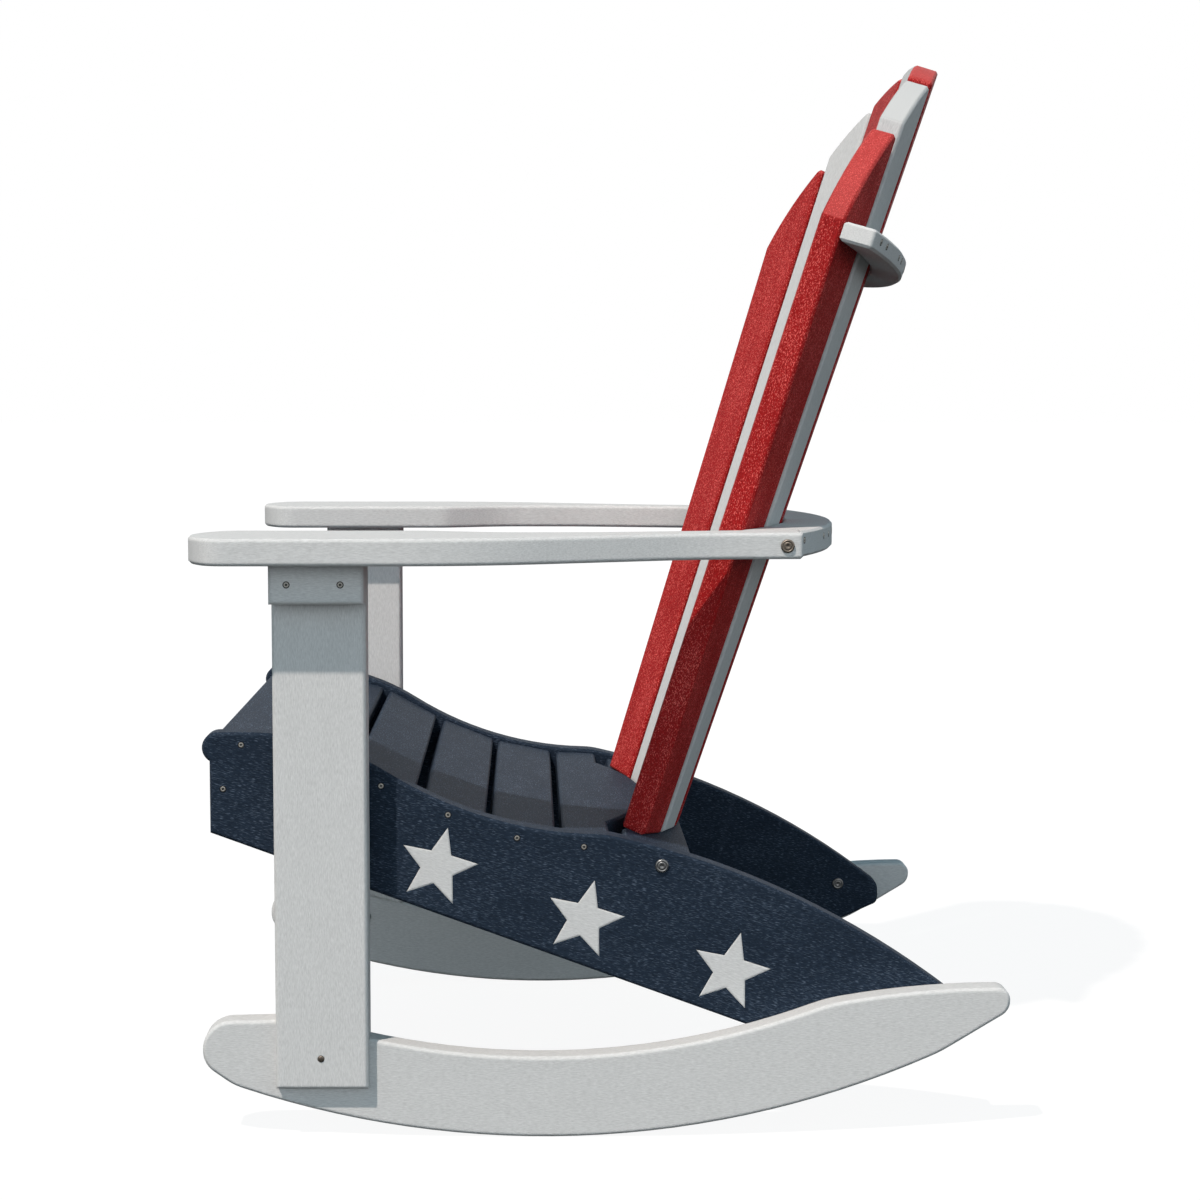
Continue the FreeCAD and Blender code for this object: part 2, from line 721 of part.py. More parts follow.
def back_slat(number):
    label = f"back_slat_{number}"
    angle = d.fan_step * (number - 4)
    lag = 1 - cosine(angle)
    tilt = slope_angle(d.fan_spread * lag, as_size(1))
    drift = d.fan_spread * sine(angle) * cosine(tilt)
    half_step = sine(d.fan_step / 2) / cosine(d.fan_step / 2)

    # Across the slat, on one of its long sides, at a height along the slat
    def edge(hand, along):
        half = fan_radius(along * cosine(tilt)) * half_step - d.slat_gap / 2
        return drift * along + half * hand

    # Height along the slat at which the arch cuts its side; the middle counts as hand 0
    def arch_cut(hand):
        start = d.fan_radius * (sine(angle) + half_step * cosine(angle) * hand)
        start = start - d.slat_gap / 2 * cosine(angle) * hand
        growth = d.fan_spread * (sine(angle) + half_step * cosine(angle) * hand)
        reach = d.fan_radius * sine(d.fan_step * 3.5) + d.arch_margin
        wide = reach * reach
        tall = d.arch_rise * d.arch_rise
        square = growth * growth / wide + 1 / tall
        linear = start * growth / wide - d.arch_height / tall
        rest = start * start / wide + d.arch_height * d.arch_height / tall - 1
        u = (root(linear * linear - square * rest) - linear) / square
        return u / cosine(tilt)

    foot = d.board * d.fan_spread * lag
    left, middle, right = [arch_cut(hand) for hand in (-1, 0, 1)]
    top_left = (edge(-1, left), left)
    top_right = (edge(1, right), right)
    outline = [
        (edge(-1, foot), foot),
        (edge(1, foot), foot),
        top_right,
        Through(edge(0, middle), middle),
        top_left,
    ]
    body = new_body(label)
    sketch = add_sketch(body, label + "Outline", "XZ_Plane")
    draw(sketch, outline)
    add_pad(body, sketch, d.board, reverse=True)
    round_corners(body, label, "y", [(d.slat_corner_round, [top_left, top_right])])
    ease_faces(body, label, "y", d.board.value)
    spot = f"vector({(d.fan_radius * sine(angle)).formula}; {(-d.fan_radius * lag).formula}; 0)"
    turn = f"rotation(vector(0; 0; 1); {(-angle).formula}) * rotation(vector(1; 0; 0); {(-tilt).formula})"
    body.setExpression("Placement", f"{back_frame} * placement({spot}; {turn})")
    return body


def in_back_frame(body, u):
    lift = f"placement(vector(0; 0; {u.formula}); rotation(vector(0; 0; 1); 0))"
    body.setExpression("Placement", f"{back_frame} * {lift}")


def lower_back_brace():
    half = d.seat_width / 2
    notch = d.lower_brace_notch
    outline = [
        (-half, d.lower_brace_front),
        (-notch, d.lower_brace_front),
        Through(zero, d.lower_brace_crest),
        (notch, d.lower_brace_front),
        (half, d.lower_brace_front),
        (half, d.lower_brace_back),
        (-half, d.lower_brace_back),
    ]
    body = level_board("lower_back_brace", outline, [])
    in_back_frame(body, -d.board)
    return body


# The point at a given distance across on the line through two points
def line_at(first, second, across):
    share = (across - first[0]) / (second[0] - first[0])
    return across, first[1] + (second[1] - first[1]) * share


# Where the line through the first two points meets the line through the last two
def crossing(first, second, third, fourth):
    run = (second[0] - first[0], second[1] - first[1])
    cut = (fourth[0] - third[0], fourth[1] - third[1])
    away = (third[0] - first[0], third[1] - first[1])
    share = (away[0] * cut[1] - away[1] * cut[0]) / (run[0] * cut[1] - run[1] * cut[0])
    return first[0] + run[0] * share, first[1] + run[1] * share


def mirrored(point):
    return -point[0], point[1]


# A brace behind the back: flats against the slats in front, one arc behind
def curved_brace(label, flats, end, crest, corners, stays_sharp=None, thickness=d.board):
    right = end[::-1] + flats[::-1]
    left = [mirrored(point) for point in right[::-1]]
    outline = right + left + [Through(zero, crest)]
    return level_board(label, outline, corners, stays_sharp, thickness)


# Its ends are cut square to the outer slats
def upper_back_brace():
    thickness = d.upper_brace_board
    u = d.upper_brace_height + thickness
    flats = [rear_corner(d.fan_step * (step + 0.5), u) for step in range(4)]
    half = flats[2][0] + (flats[3][0] - flats[2][0]) * d.upper_brace_reach
    front = line_at(flats[2], flats[3], half)
    angle = d.fan_step * 3
    back = (front[0] + d.upper_brace_tip * sine(angle), front[1] + d.upper_brace_tip * cosine(angle))
    crest = d.board + d.fit + d.upper_brace_depth
    corners = [(d.brace_corner_round, [back, mirrored(back)])]
    body = curved_brace("upper_back_brace", flats[:3], [front, back], crest, corners, thickness=thickness)
    in_back_frame(body, d.upper_brace_height)
    return body


# It fits between the arms, and its ends taper off behind them
def arm_back_brace():
    level = d.arm_under + d.board
    flats = [level_corner(d.fan_step * (step + 0.5), level) for step in range(4)]
    waist_end = (d.arm_waist_back_side, d.arm_waist_back)
    back_inner = (d.arm_back_inner, d.arm_back)
    front = crossing(flats[2], flats[3], waist_end, back_inner)
    radius = d.middle_brace_radius
    lip = d.arm_back + d.middle_brace_lip
    rise = radius - d.middle_brace_crest + lip
    half = root(radius * radius - rise * rise)
    end = [front, back_inner, (half, d.arm_back), (half, lip)]

    def behind_an_arm(edge):
        return abs(edge.CenterOfMass.x) > d.arm_back_inner.value

    body = curved_brace("arm_back_brace", flats[:3], end, d.middle_brace_crest, [], behind_an_arm)
    place(body, 0, 0, d.arm_under)
    return body


# A bolt that starts on a board's upright face and runs across the chair, its head outside the face
def bolt(label, x, y, z, length, inward):
    shank = doc.addObject("Part::Cylinder", label + "Shank")
    shank.setExpression("Radius", (d.bolt_diameter / 2).formula)
    shank.setExpression("Height", length.formula)
    shank.setExpression("Placement.Base.z", (-length).formula)
    head = doc.addObject("Part::Cylinder", label + "Head")
    head.setExpression("Radius", (d.bolt_head / 2).formula)
    head.setExpression("Height", d.bolt_head_height.formula)
    whole = doc.addObject("Part::Fuse", label)
    whole.Base = shank
    whole.Tool = head
    place(whole, x, y, z, f"rotation(vector(0; 1; 0); {90 * inward})")
    return whole


def group(label, bolts):
    together = doc.addObject("Part::Compound", "Group_" + label)
    together.Label = label
    together.Links = bolts
    return together


parts = {}
holes = {}


def keep(piece):
    parts[piece.Label] = piece
    return piece


def drill(label, tool):
    holes.setdefault(label, []).append(tool)


def build_sides():
    for hand, side in (("left", 1), ("right", -1)):
        outline, corners = rocker_outline()
        keep(side_board("rocker_" + hand, side, side_outer, d.board, outline, corners))
        outline, corners = seat_side_outline()
        board = keep(side_board("seat_side_" + hand, side, side_inner, d.board, outline, corners))
        recess_stars(board, "seat_side_" + hand, side)
        keep(star_inlays("star_inlays_" + hand, side))
        keep(front_leg(hand, side))
        keep(arm_bracket("arm_bracket_" + hand, side))
        keep(arm("arm_" + hand, side))


def build_seat():
    for number in range(1, 7):
        keep(seat_slat(number))
    low = side_under + d.apron_lift
    height = d.seat_height - d.seat_recess - d.board - low
    apron = plain_block("front_apron", -side_inner, d.apron_front, low, d.seat_width, d.board, height)

    def front_edge(edge):
        return lies_at(edge, "y", 0) and lies_at(edge, "z", 0)

    ease_edges(apron, "front_apron", front_edge)
    keep(apron)


def leg_bolt(hand, side):
    y = d.leg_front + d.leg_bolt_back
    length = leg_outer - side_outer - d.leg_bolt_inset
    return bolt("LegBolt" + hand, side_outer * side, y, d.leg_bolt_height, length, -side)


def rocker_bolt(hand, side):
    x = side_inner * side
    y = d.rocker_bolt_place
    return bolt("RockerBolt" + hand, x, y, d.rocker_bolt_height, d.rocker_bolt_length, -side)


def brace_bolt(hand, side):
    depth = d.brace_bolt_depth
    y = d.back_foot + depth * cosine(d.lean) - d.brace_bolt_drop * sine(d.lean)
    z = back_foot_height - depth * sine(d.lean) - d.brace_bolt_drop * cosine(d.lean)
    return bolt("BraceBolt" + hand, side_outer * side, y, z, d.brace_bolt_length, side)


def arm_bolt(hand, side):
    y = d.arm_back - d.arm_bolt_inset
    outer = line_at((d.arm_heel, d.arm_heel_side), (d.arm_back, d.arm_back_outer), y)[1]
    return bolt("ArmBolt" + hand, outer * side, y, d.arm_under + d.board / 2, d.arm_bolt_length, side)


# One bolt of each kind on each side, through the two boards that it joins
def build_bolts():
    kinds = [
        ("leg_bolts", leg_bolt, "rocker_{}", "front_leg_{}"),
        ("rocker_bolts", rocker_bolt, "seat_side_{}", "rocker_{}"),
        ("brace_bolts", brace_bolt, "seat_side_{}", "lower_back_brace"),
        ("arm_bolts", arm_bolt, "arm_{}", "arm_back_brace"),
    ]
    for label, make, first, second in kinds:
        bolts = []
        for hand, side in (("left", 1), ("right", -1)):
            bolts.append(make(hand, side))
            drill(first.format(hand), bolts[-1])
            drill(second.format(hand), bolts[-1])
        keep(group(label, bolts))


def build_back():
    keep(lower_back_brace())
    keep(arm_back_brace())
    keep(upper_back_brace())
    for number in range(1, 8):
        keep(back_slat(number))


def finish():
    for label, tools in holes.items():
        parts[label] = cut_away(parts[label], tools, "holes")
    doc.recompute()
    for item in doc.Objects:
        if "Invalid" in item.State or "Error" in item.State:
            raise RuntimeError(f"{item.Label} failed: {item.State}")
    os.makedirs("parts", exist_ok=True)
    for label, piece in parts.items():
        shape = piece.Shape
        if shape.isNull() or not shape.isValid():
            raise RuntimeError(f"{label} has no valid shape")
        shape.exportStep(f"parts/{label}.step")
    print(len(parts), "sub-parts written")


build_sides()
build_seat()
build_back()
build_bolts()
finish()
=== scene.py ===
import math
import bpy
import numpy as np
from mathutils import Matrix, Vector


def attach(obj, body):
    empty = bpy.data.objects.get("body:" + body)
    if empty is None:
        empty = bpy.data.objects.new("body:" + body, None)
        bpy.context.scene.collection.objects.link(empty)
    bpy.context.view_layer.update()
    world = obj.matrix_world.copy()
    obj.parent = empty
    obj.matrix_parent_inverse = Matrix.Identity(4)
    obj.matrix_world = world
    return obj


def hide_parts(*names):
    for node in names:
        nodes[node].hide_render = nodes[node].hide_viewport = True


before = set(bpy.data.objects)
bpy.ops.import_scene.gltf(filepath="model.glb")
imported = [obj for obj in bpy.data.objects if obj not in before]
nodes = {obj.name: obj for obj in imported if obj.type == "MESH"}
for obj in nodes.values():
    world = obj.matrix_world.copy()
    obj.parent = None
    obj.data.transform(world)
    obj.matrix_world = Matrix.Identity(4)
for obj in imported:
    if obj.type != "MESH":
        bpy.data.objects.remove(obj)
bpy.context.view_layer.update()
scene = bpy.context.scene
mm = 0.001
hands = ((1, "left"), (-1, "right"))
print("frame loaded,", len(nodes), "boards and bolts")

# The camera stands where the photograph was taken from, square to the chair's left side. Angles are in
# degrees, the sensor and the lens in mm.
cameraSet = {
    "place": (2.3901, -0.0731, 0.7146),
    "turn": 90,
    "pitchDown": 5.225,
    "sensor": 36,
    "lens": 66.315,
    "shiftRight": 0.0603,
}
levelTilt = 90  # the tilt at which a camera looks level

cameraData = bpy.data.cameras.new("chairCamera")
cameraData.sensor_width = cameraSet["sensor"]
cameraData.lens = cameraSet["lens"]
cameraData.shift_x = cameraSet["shiftRight"]
camera = bpy.data.objects.new("chairCamera", cameraData)
camera.location = cameraSet["place"]
cameraTilt = math.radians(levelTilt - cameraSet["pitchDown"])
camera.rotation_euler = (cameraTilt, 0, math.radians(cameraSet["turn"]))
scene.collection.objects.link(camera)
scene.camera = camera
print("camera placed")


# Adds a shader node; an input may be a value or another node's output
def addNode(tree, kind, inputs=None, **settings):
    node = tree.nodes.new(kind)
    for key, value in settings.items():
        setattr(node, key, value)
    for key, value in (inputs or {}).items():
        feed(tree, node.inputs[key], value)
    return node


def feed(tree, socket, value):
    if isinstance(value, bpy.types.NodeSocket):
        tree.links.new(value, socket)
    else:
        socket.default_value = value


def calc(tree, operation, first, second=0.0, third=0.0, clamp=False):
    node = addNode(tree, "ShaderNodeMath", {0: first, 1: second, 2: third}, operation=operation)
    node.use_clamp = clamp
    return node.outputs[0]


def mixColour(tree, share, first, second):
    node = addNode(tree, "ShaderNodeMix", {0: share, 6: first, 7: second}, data_type="RGBA")
    return node.outputs[2]


def newMaterial(name):
    material = bpy.data.materials.new(name)
    material.use_nodes = True
    return material, material.node_tree


# Noise in the piece's own coordinates
def ownNoise(tree, settings):
    spot = addNode(tree, "ShaderNodeTexCoord").outputs["Object"]
    return addNode(tree, "ShaderNodeTexNoise", {"Vector": spot, **settings}).outputs[0]


def rgba(colour):
    return (*colour, 1.0)


# Each noise's detail and roughness, the patches' scale along and across the grain, how far they
# shift the flecks' cut-off, and how softly the flecks are cut off
grainSet = {
    "tone": (3.0, 0.65), "fleck": (1.0, 0.5), "patch": (2.0, 0.6), "patchScale": (14.0, 45.0),
    "patchShift": 0.20, "fleckSoftness": 0.12,
}


# Lengthwise brushed grain with short flecks. The first input's X runs along the grain.
# Tone is a stretched noise, Fleck a shorter stretched noise cut off at a level and thinned
# in patches, Height their sum.
def makeBoardGrain():
    group = bpy.data.node_groups.new("boardGrain", "ShaderNodeTree")
    group.interface.new_socket(name="Vector", in_out="INPUT", socket_type="NodeSocketVector")
    for name in ("Along", "Across", "Fleck Along", "Fleck Across", "Fleck Level", "Fleck Height"):
        group.interface.new_socket(name=name, in_out="INPUT", socket_type="NodeSocketFloat")
    for name in ("Tone", "Fleck", "Height", "Patch"):
        group.interface.new_socket(name=name, in_out="OUTPUT", socket_type="NodeSocketFloat")
    given = addNode(group, "NodeGroupInput").outputs
    result = addNode(group, "NodeGroupOutput").inputs

    def stretched(along, across, detail, roughness):
        scale = addNode(group, "ShaderNodeCombineXYZ", {0: along, 1: across, 2: across}).outputs[0]
        place = addNode(group, "ShaderNodeVectorMath", {0: given["Vector"], 1: scale}, operation="MULTIPLY")
        noise = addNode(group, "ShaderNodeTexNoise", {"Vector": place.outputs[0], "Scale": 1.0})
        noise.inputs["Detail"].default_value = detail
        noise.inputs["Roughness"].default_value = roughness
        return noise.outputs[0]

    tone = stretched(given["Along"], given["Across"], *grainSet["tone"])
    fleckNoise = stretched(given["Fleck Along"], given["Fleck Across"], *grainSet["fleck"])
    patch = stretched(*grainSet["patchScale"], *grainSet["patch"])
    thinning = calc(group, "SUBTRACT", 0.5, patch)
    level = calc(group, "MULTIPLY_ADD", thinning, grainSet["patchShift"], given["Fleck Level"])
    fleck = addNode(group, "ShaderNodeMapRange", {0: fleckNoise, 1: level}, interpolation_type="SMOOTHSTEP")
    feed(group, fleck.inputs[2], calc(group, "ADD", level, grainSet["fleckSoftness"]))
    feed(group, result["Tone"], tone)
    feed(group, result["Fleck"], fleck.outputs[0])
    feed(group, result["Patch"], patch)
    feed(group, result["Height"], calc(group, "MULTIPLY_ADD", fleck.outputs[0], given["Fleck Height"], tone))
    return group


boardGrain = makeBoardGrain()

# Colours are linear. Contrast belongs to the grain and patchContrast to its broad patches. The scales
# along and across are per metre. Sawn is the colour of cut ends, where a finish has them. Sheen tint colours
# the reflections; its blue in white and navy is a painted sky colour.
finishes = {
    "white": {
        "colour": (0.622, 0.624, 0.620), "contrast": 0.34, "patchContrast": 0.03,
        "fleckColour": (0.58, 0.585, 0.58), "fleckShare": 0.35,
        "along": 190.0, "across": 1050.0, "fleckAlong": 240.0, "fleckAcross": 1050.0,
        "fleckLevel": 0.58, "fleckHeight": -0.5, "edgeRound": 3.4 * mm,
        "roughness": 0.64, "roughSpread": 0.10, "specular": 0.09, "bump": 0.12,
        "sheenTint": (0.90, 0.96, 1.0), "sawn": (0.53, 0.535, 0.53), "sawnShare": 0.85,
    },
    "red": {
        "colour": (0.318, 0.0096, 0.0104), "contrast": 0.95, "patchContrast": 0.12,
        "fleckColour": (0.90, 0.16, 0.14), "fleckShare": 0.84,
        "along": 430.0, "across": 980.0, "fleckAlong": 520.0, "fleckAcross": 1350.0,
        "fleckLevel": 0.55, "fleckHeight": 0.8, "edgeRound": 2.8 * mm,
        "roughness": 0.55, "roughSpread": 0.16, "specular": 0.12, "bump": 0.40,
        "sheenTint": (1.0, 0.80, 0.80), "sawn": (0.60, 0.095, 0.088), "sawnShare": 0.38,
    },
    "navy": {
        "colour": (0.0160, 0.0250, 0.0410), "contrast": 0.95, "patchContrast": 0.08,
        "fleckColour": (0.105, 0.138, 0.190), "fleckShare": 0.66,
        "along": 150.0, "across": 1250.0, "fleckAlong": 180.0, "fleckAcross": 1500.0,
        "fleckLevel": 0.57, "fleckHeight": 0.8, "edgeRound": 2.2 * mm,
        "roughness": 0.60, "roughSpread": 0.16, "specular": 0.08, "bump": 0.30,
        "sheenTint": (0.58, 0.79, 1.0),
    },
}
finishes["whiteBrace"] = {**finishes["white"], "edgeRound": 1.0 * mm}

# Sawn ends fade in as the face turns from the board's length by these two cosines
boardSet = {"edgeSamples": 6, "bumpDistance": 0.6 * mm, "sawnFrom": 0.25, "sawnFull": 0.35}


# A board material whose grain runs along the given direction, in row coordinates
def boardMaterial(name, finishName, length, flat, sawnEnds):
    finish = finishes[finishName]
    along = Vector(length).normalized()
    across = Vector(flat).cross(along).normalized()
    turn = Matrix((along, across, along.cross(across))).to_euler()
    material, tree = newMaterial(name)
    shader = tree.nodes["Principled BSDF"]
    spot = addNode(tree, "ShaderNodeTexCoord").outputs["Object"]
    turned = addNode(tree, "ShaderNodeMapping", {"Vector": spot, "Rotation": turn}).outputs[0]
    grain = addNode(tree, "ShaderNodeGroup")
    grain.node_tree = boardGrain
    for socket, key in (("Along", "along"), ("Across", "across"), ("Fleck Along", "fleckAlong"),
                        ("Fleck Across", "fleckAcross"), ("Fleck Level", "fleckLevel"),
                        ("Fleck Height", "fleckHeight")):
        grain.inputs[socket].default_value = finish[key]
    feed(tree, grain.inputs["Vector"], turned)
    tone, patch = grain.outputs["Tone"], grain.outputs["Patch"]
    base = np.array(finish["colour"])
    spread = calc(tree, "MULTIPLY_ADD", calc(tree, "SUBTRACT", patch, 0.5),
                  finish["patchContrast"] / finish["contrast"], tone)
    darker, lighter = base * (1 - finish["contrast"]), base * (1 + finish["contrast"])
    colour = mixColour(tree, spread, rgba(darker), rgba(lighter))
    share = calc(tree, "MULTIPLY", grain.outputs["Fleck"], finish["fleckShare"])
    colour = mixColour(tree, share, colour, rgba(finish["fleckColour"]))
    if sawnEnds:
        facing = addNode(tree, "ShaderNodeNewGeometry").outputs["Normal"]
        turning = addNode(tree, "ShaderNodeVectorMath", {0: facing, 1: along}, operation="DOT_PRODUCT")
        end = addNode(tree, "ShaderNodeMapRange", {0: calc(tree, "ABSOLUTE", turning.outputs["Value"])})
        feed(tree, end.inputs[1], boardSet["sawnFrom"])
        feed(tree, end.inputs[2], boardSet["sawnFull"])
        share = calc(tree, "MULTIPLY", end.outputs[0], finish["sawnShare"])
        colour = mixColour(tree, share, colour, rgba(finish["sawn"]))
    rough = calc(tree, "SUBTRACT", tone, 0.5)
    rough = calc(tree, "MULTIPLY_ADD", rough, finish["roughSpread"], finish["roughness"])
    edges = {"Radius": finish["edgeRound"]}
    rounded = addNode(tree, "ShaderNodeBevel", edges, samples=boardSet["edgeSamples"]).outputs[0]
    relief = {"Strength": finish["bump"], "Distance": boardSet["bumpDistance"]}
    relief.update({"Height": grain.outputs["Height"], "Normal": rounded})
    bump = addNode(tree, "ShaderNodeBump", relief)
    feed(tree, shader.inputs["Base Color"], colour)
    feed(tree, shader.inputs["Roughness"], rough)
    feed(tree, shader.inputs["Normal"], bump.outputs[0])
    shader.inputs["Specular IOR Level"].default_value = finish["specular"]
    # The sheen tint colours the reflections; the blue in the white and navy tints is painted sky colour, as
    # gloss meets a plain white world
    shader.inputs["Specular Tint"].default_value = rgba(finish["sheenTint"])
    return material


# The back's fan as in the CAD, in metres and degrees: its slats stand round a circle that widens upward
back = {
    "foot": (0.0665, 0.2675), "lean": 18.49, "radius": 0.3658, "spread": 0.1958, "step": 8.59,
    "slats": range(1, 8), "middle": 4,
}


# A point or direction of the leaning back's frame (x across, n to the rear, u up) in the row frame
def fromBack(x, n, u, place=True):
    lean = math.radians(back["lean"])
    y = n * math.cos(lean) + u * math.sin(lean)
    z = u * math.cos(lean) - n * math.sin(lean)
    return Vector((x, y + back["foot"][0], z + back["foot"][1])) if place else Vector((x, y, z))


def slatAngle(number):
    return math.radians((number - back["middle"]) * back["step"])


# The way up a back slat, whose middle line runs out by the fan's spread as it rises
def slatWay(number):
    angle = slatAngle(number)
    return fromBack(back["spread"] * math.sin(angle), -back["spread"] * (1 - math.cos(angle)), 1, False)


# Each row holds the material's name, its finish, the grain's direction, the way that the boards' broad
# faces look, and the boards
sideFall = math.radians(-13)  # the seat sides' grain follows their lower edge
boards = [
    ("whiteAlongRocker", "white", (0, 1, 0), (1, 0, 0), ["rocker_left", "rocker_right"]),
    ("whiteAlongLeg", "white", (0, 0, 1), (1, 0, 0), ["front_leg_left", "front_leg_right"]),
    ("whiteAlongArm", "white", (0, 1, 0), (0, 0, 1),
     ["arm_left", "arm_right", "arm_bracket_left", "arm_bracket_right"]),
    ("whiteAcross", "whiteBrace", (1, 0, 0), (0, 0, 1), ["arm_back_brace", "upper_back_brace"]),
    ("whiteInlay", "white", (0, math.cos(sideFall), math.sin(sideFall)), (1, 0, 0),
     ["star_inlays_left", "star_inlays_right"]),
    ("navyAlongSide", "navy", (0, math.cos(sideFall), math.sin(sideFall)), (1, 0, 0),
     ["seat_side_left", "seat_side_right"]),
    ("navyAcross", "navy", (1, 0, 0), (0, 0, 1),
     [f"seat_slat_{number}" for number in range(1, 7)] + ["front_apron", "lower_back_brace"]),
]
for number in back["slats"]:
    finishName = "red" if number % 2 else "white"
    slatName = f"back_slat_{number}"
    boards.append((f"{finishName}Slat{number}", finishName, slatWay(number), (0, 1, 0), [slatName]))

for name, finishName, length, flat, boardNames in boards:
    material = boardMaterial(name, finishName, length, flat, "Slat" in name)
    for boardName in boardNames:
        for slot in nodes[boardName].material_slots:
            slot.material = material
print("boards finished")

steelSet = {
    "grain": {"Scale": 900.0, "Detail": 3.0}, "spread": 0.3, "roughSpread": 0.2,
    "bump": 0.15, "bumpDistance": 0.1 * mm,
}


def steelMaterial(name, colour, roughness):
    material, tree = newMaterial(name)
    shader = tree.nodes["Principled BSDF"]
    noise = ownNoise(tree, steelSet["grain"])
    base = np.array(colour)
    darker, lighter = base * (1 - steelSet["spread"]), base * (1 + steelSet["spread"])
    smoothest = roughness - steelSet["roughSpread"] / 2
    rough = calc(tree, "MULTIPLY_ADD", noise, steelSet["roughSpread"], smoothest)
    relief = {"Strength": steelSet["bump"], "Distance": steelSet["bumpDistance"], "Height": noise}
    bump = addNode(tree, "ShaderNodeBump", relief)
    feed(tree, shader.inputs["Base Color"], mixColour(tree, noise, rgba(darker), rgba(lighter)))
    feed(tree, shader.inputs["Roughness"], rough)
    feed(tree, shader.inputs["Normal"], bump.outputs[0])
    shader.inputs["Metallic"].default_value = 1.0
    return material


# Painted shade: a near-black, faintly mottled material that stands in for the shade in the gap round the
# screw heads, in their drive hollows and at the rim of the leg bolts' ends
paintedRecessShadeSet = {
    "grain": {"Scale": 700.0}, "darkest": (0.006, 0.006, 0.007), "lightest": (0.02, 0.02, 0.022),
    "roughness": 0.7, "specular": 0.1,
}


def paintedRecessShadeMaterial():
    material, tree = newMaterial("paintedRecessShade")
    shader = tree.nodes["Principled BSDF"]
    noise = ownNoise(tree, paintedRecessShadeSet["grain"])
    colour = mixColour(tree, noise, rgba(paintedRecessShadeSet["darkest"]), rgba(paintedRecessShadeSet["lightest"]))
    feed(tree, shader.inputs["Base Color"], colour)
    shader.inputs["Roughness"].default_value = paintedRecessShadeSet["roughness"]
    shader.inputs["Specular IOR Level"].default_value = paintedRecessShadeSet["specular"]
    return material


greySteel = steelMaterial("greySteel", (0.22, 0.23, 0.235), 0.38)
brownSteel = steelMaterial("brownSteel", (0.20, 0.175, 0.15), 0.45)
screwSteel = steelMaterial("screwSteel", (0.50, 0.50, 0.47), 0.45)
paintedRecessShade = paintedRecessShadeMaterial()
headCrease = math.radians(40)  # edges of the heads that turn by more stay sharp


# Turned heads: a profile of radius and height carried round an axis, radius drawn towards a
# square by the third number, so x = r f cos a, y = r f sin a, z = h with f from 1 (round) to
# 1 / max(|cos a|, |sin a|) (square). Each place is (point, outward way); the fourth number
# picks the material of the ring above that row.
def turnedHeads(name, profile, places, spokes, materials, twists=None):
    rows = np.array(profile, dtype=float)
    radius, height, square = rows[1:-1, 0] * mm, rows[1:-1, 1] * mm, rows[1:-1, 2]
    angle = np.arange(spokes) * 2 * np.pi / spokes
    boxed = 1 / np.maximum(np.abs(np.cos(angle)), np.abs(np.sin(angle)))
    reach = radius[:, None] * (1 + square[:, None] * (boxed[None, :] - 1))
    ringCount = len(radius)
    ring = np.stack([reach * np.cos(angle), reach * np.sin(angle),
                     np.repeat(height[:, None], spokes, axis=1)], axis=-1).reshape(-1, 3)
    local = np.vstack([[0, 0, rows[0, 1] * mm], ring, [0, 0, rows[-1, 1] * mm]])
    start = 1 + np.arange(ringCount - 1)[:, None] * spokes + np.arange(spokes)[None, :]
    onward = 1 + np.arange(ringCount - 1)[:, None] * spokes + (np.arange(spokes)[None, :] + 1) % spokes
    quads = np.stack([start, onward, onward + spokes, start + spokes], axis=-1).reshape(-1, 4)
    first = 1 + np.arange(spokes)
    following = 1 + (np.arange(spokes) + 1) % spokes
    last = (ringCount - 1) * spokes
    foot = np.stack([np.zeros(spokes, int), following, first], axis=-1)
    tip = np.stack([first + last, following + last, np.full(spokes, len(local) - 1)], axis=-1)
    quadPaint = np.repeat(rows[1:-2, 3], spokes)
    paint = np.concatenate([quadPaint, np.full(spokes, rows[0, 3]), np.full(spokes, rows[-2, 3])])
    points, faces, paints = [], [], []
    for index, (point, way) in enumerate(places):
        outward = Vector(way).normalized()
        side = outward.orthogonal().normalized()
        turn = Matrix((side, outward.cross(side), outward)).transposed()
        if twists is not None:
            turn = turn @ Matrix.Rotation(twists[index], 3, "Z")
        offset = index * len(local)
        points.append(local @ np.array(turn).T + np.array(point))
        faces += [face.tolist() for part in (quads, foot, tip) for face in part + offset]
        paints.append(paint)
    mesh = bpy.data.meshes.new(name)
    mesh.from_pydata(np.vstack(points).tolist(), [], faces)
    mesh.polygons.foreach_set("material_index", np.concatenate(paints).astype(np.int32))
    mesh.polygons.foreach_set("use_smooth", np.ones(len(faces), bool))
    mesh.set_sharp_from_angle(angle=headCrease)
    for material in materials:
        mesh.materials.append(material)
    mesh.update()
    piece = bpy.data.objects.new(name, mesh)
    scene.collection.objects.link(piece)
    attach(piece, "root")
    return piece


# Where a straight line from outside meets a board, and the board's outward way there
def meetBoard(boardName, start, way):
    hit, point, normal, face = nodes[boardName].ray_cast(Vector(start), Vector(way).normalized())
    if not hit:
        raise RuntimeError(f"no board {boardName} at {start}")
    return point, normal


boltHead = {
    "profile": [  # radius and height in mm, from the washer edge to the dimple
        (6.45, 0.0), (6.62, 0.35), (6.62, 1.35), (6.35, 2.0), (5.85, 2.4), (5.2, 2.55), (4.75, 2.5),
        (4.45, 2.2), (4.05, 2.15), (3.75, 2.4), (3.2, 2.5), (1.9, 2.55), (1.45, 2.3), (0.7, 2.05),
    ],
    "shank": 3.1, "neck": -0.02, "dimple": 2.0, "spokes": 40,
}


def boltProfile(length):
    rows = [(0, -length), (boltHead["shank"], -length), (boltHead["shank"], boltHead["neck"])]
    rows += boltHead["profile"] + [(0, boltHead["dimple"])]
    return [(r, h, 0, 0) for r, h in rows]


